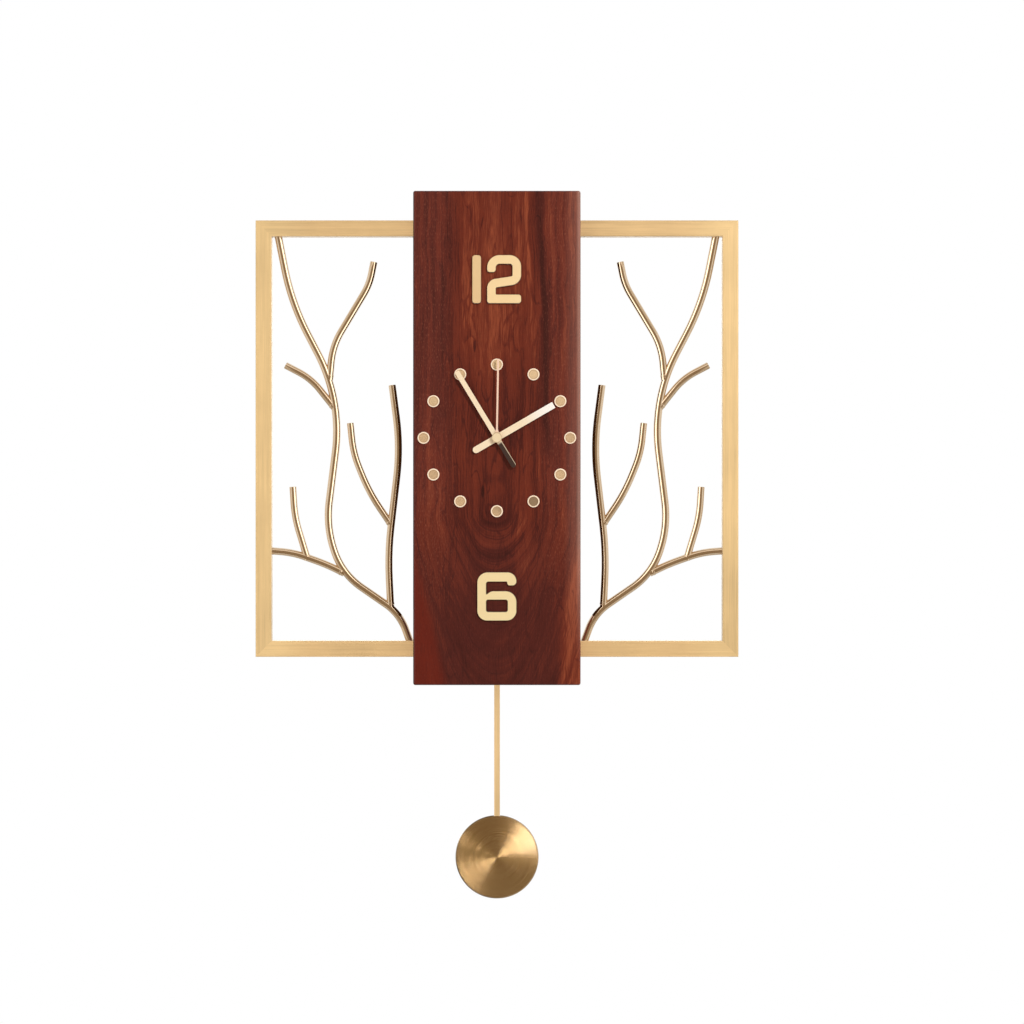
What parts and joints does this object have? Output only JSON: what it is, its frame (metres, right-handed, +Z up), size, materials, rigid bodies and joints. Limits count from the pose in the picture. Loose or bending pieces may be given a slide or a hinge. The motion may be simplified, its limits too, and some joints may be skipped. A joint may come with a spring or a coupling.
{
  "type": "wall pendulum clock",
  "caption": "Wall clock with an upright wooden board, straight hands, a pendulum and open side frames filled with bent branch rods.",
  "frame": {"origin": "centre of the hanger plate's entry hole, in the plane of the board's back", "axes": "+X to the right as seen from the front, +Y from the front to the wall, +Z up"},
  "size_m": [0.483, 0.0436, 0.7056],
  "materials": {
    "board_wood": "satin lacquer over reddish wood, grain upright",
    "frame_metal": "brushed along each bar, satin",
    "rod_metal": "polished",
    "stud_metal": "satin face, bright rim",
    "numeral_metal": "satin",
    "hand_metal": "satin",
    "seconds_metal": "satin",
    "pendulum_metal": "satin",
    "bob_metal": "spun, bright rays",
    "case_plastic": "matt black",
    "bridge_plastic": "natural",
    "gear_plastic": "natural",
    "bush_metal": "turned",
    "battery_sleeve": "satin wrap",
    "spring_steel": "zinc plated",
    "coil_copper": "enamelled wire",
    "magnet_grey": "matt",
    "circuit_green": "solder mask",
    "plug_plastic": "matt",
    "pad_felt": "matt"
  },
  "bodies": {
    "clock": {"wood_panel": "board_wood", "left_stile": "frame_metal", "left_top_rail": "frame_metal", "left_bottom_rail": "frame_metal", "right_stile": "frame_metal", "right_top_rail": "frame_metal", "right_bottom_rail": "frame_metal", "left_main_stem": "rod_metal", "left_upper_fork": "rod_metal", "left_side_twig": "rod_metal", "left_second_stem": "rod_metal", "left_inner_twig": "rod_metal", "left_lower_branch": "rod_metal", "left_small_twig": "rod_metal", "right_main_stem": "rod_metal", "right_upper_fork": "rod_metal", "right_side_twig": "rod_metal", "right_second_stem": "rod_metal", "right_inner_twig": "rod_metal", "right_lower_branch": "rod_metal", "right_small_twig": "rod_metal", "hour_markers": "stud_metal", "numeral_twelve": "numeral_metal", "numeral_six": "numeral_metal", "movement_case": "case_plastic", "movement_cover": "case_plastic", "gear_bridge": "bridge_plastic", "mounting_bush": "bush_metal", "bush_nut": "bush_metal", "bush_washer": "bush_metal", "pendulum_pivot": "bush_metal", "battery": "battery_sleeve", "battery_contacts": "spring_steel", "keyhole_plate": "spring_steel", "plate_screws": "spring_steel", "rail_screws": "spring_steel", "motor_stator": "spring_steel", "motor_coil": "coil_copper", "pendulum_coil": "coil_copper", "circuit_board": "circuit_green", "rail_plugs": "plug_plastic", "wall_pads": "pad_felt"},
    "hour": {"hour_wheel": "gear_plastic", "hour_hand": "hand_metal"},
    "minute": {"centre_wheel": "gear_plastic", "minute_hand": "hand_metal"},
    "seconds": {"seconds_wheel": "gear_plastic", "seconds_hand": "seconds_metal"},
    "third": {"third_wheel": "gear_plastic"},
    "intermediate": {"intermediate_wheel": "gear_plastic"},
    "motor": {"rotor": "magnet_grey"},
    "motion": {"motion_wheel": "gear_plastic"},
    "setting": {"setting_knob": "gear_plastic"},
    "pendulum": {"pendulum_arm": "case_plastic", "arm_magnet": "magnet_grey", "pendulum_rod": "pendulum_metal", "pendulum_bob": "bob_metal", "bob_clip": "spring_steel"}
  },
  "joints": [
    {"name": "seconds_turn", "type": "hinge", "parent": "clock", "child": "seconds", "pos_m": [0, 0, -0.175], "axis": [0, 1, 0], "continuous": true},
    {"name": "minute_turn", "type": "hinge", "parent": "clock", "child": "minute", "pos_m": [0, 0, -0.175], "axis": [0, 1, 0], "continuous": true},
    {"name": "hour_turn", "type": "hinge", "parent": "clock", "child": "hour", "pos_m": [0, 0, -0.175], "axis": [0, 1, 0], "continuous": true},
    {"name": "third_turn", "type": "hinge", "parent": "clock", "child": "third", "pos_m": [0.0106, 0, -0.16888], "axis": [0, 1, 0], "continuous": true},
    {"name": "intermediate_turn", "type": "hinge", "parent": "clock", "child": "intermediate", "pos_m": [-0.01039, 0, -0.169], "axis": [0, 1, 0], "continuous": true},
    {"name": "motor_turn", "type": "hinge", "parent": "clock", "child": "motor", "pos_m": [-0.01579, 0, -0.16256], "axis": [0, 1, 0], "continuous": true},
    {"name": "motion_turn", "type": "hinge", "parent": "clock", "child": "motion", "pos_m": [0, 0, -0.165], "axis": [0, 1, 0], "continuous": true},
    {"name": "setting_turn", "type": "hinge", "parent": "clock", "child": "setting", "pos_m": [-0.00574, 0, -0.15681], "axis": [0, 1, 0], "continuous": true},
    {"name": "pendulum_swing", "type": "hinge", "parent": "clock", "child": "pendulum", "pos_m": [0, 0, -0.219], "axis": [0, 1, 0], "range_deg": [-7, 7]}
  ],
  "couplings": [
    {"joint": "minute_turn", "follows": "seconds_turn", "ratio": 0.016667},
    {"joint": "hour_turn", "follows": "seconds_turn", "ratio": 0.0013889},
    {"joint": "third_turn", "follows": "seconds_turn", "ratio": -0.13333},
    {"joint": "intermediate_turn", "follows": "seconds_turn", "ratio": -5},
    {"joint": "motor_turn", "follows": "seconds_turn", "ratio": 30},
    {"joint": "motion_turn", "follows": "seconds_turn", "ratio": -0.0055556},
    {"joint": "setting_turn", "follows": "seconds_turn", "ratio": 0.016667}
  ]
}
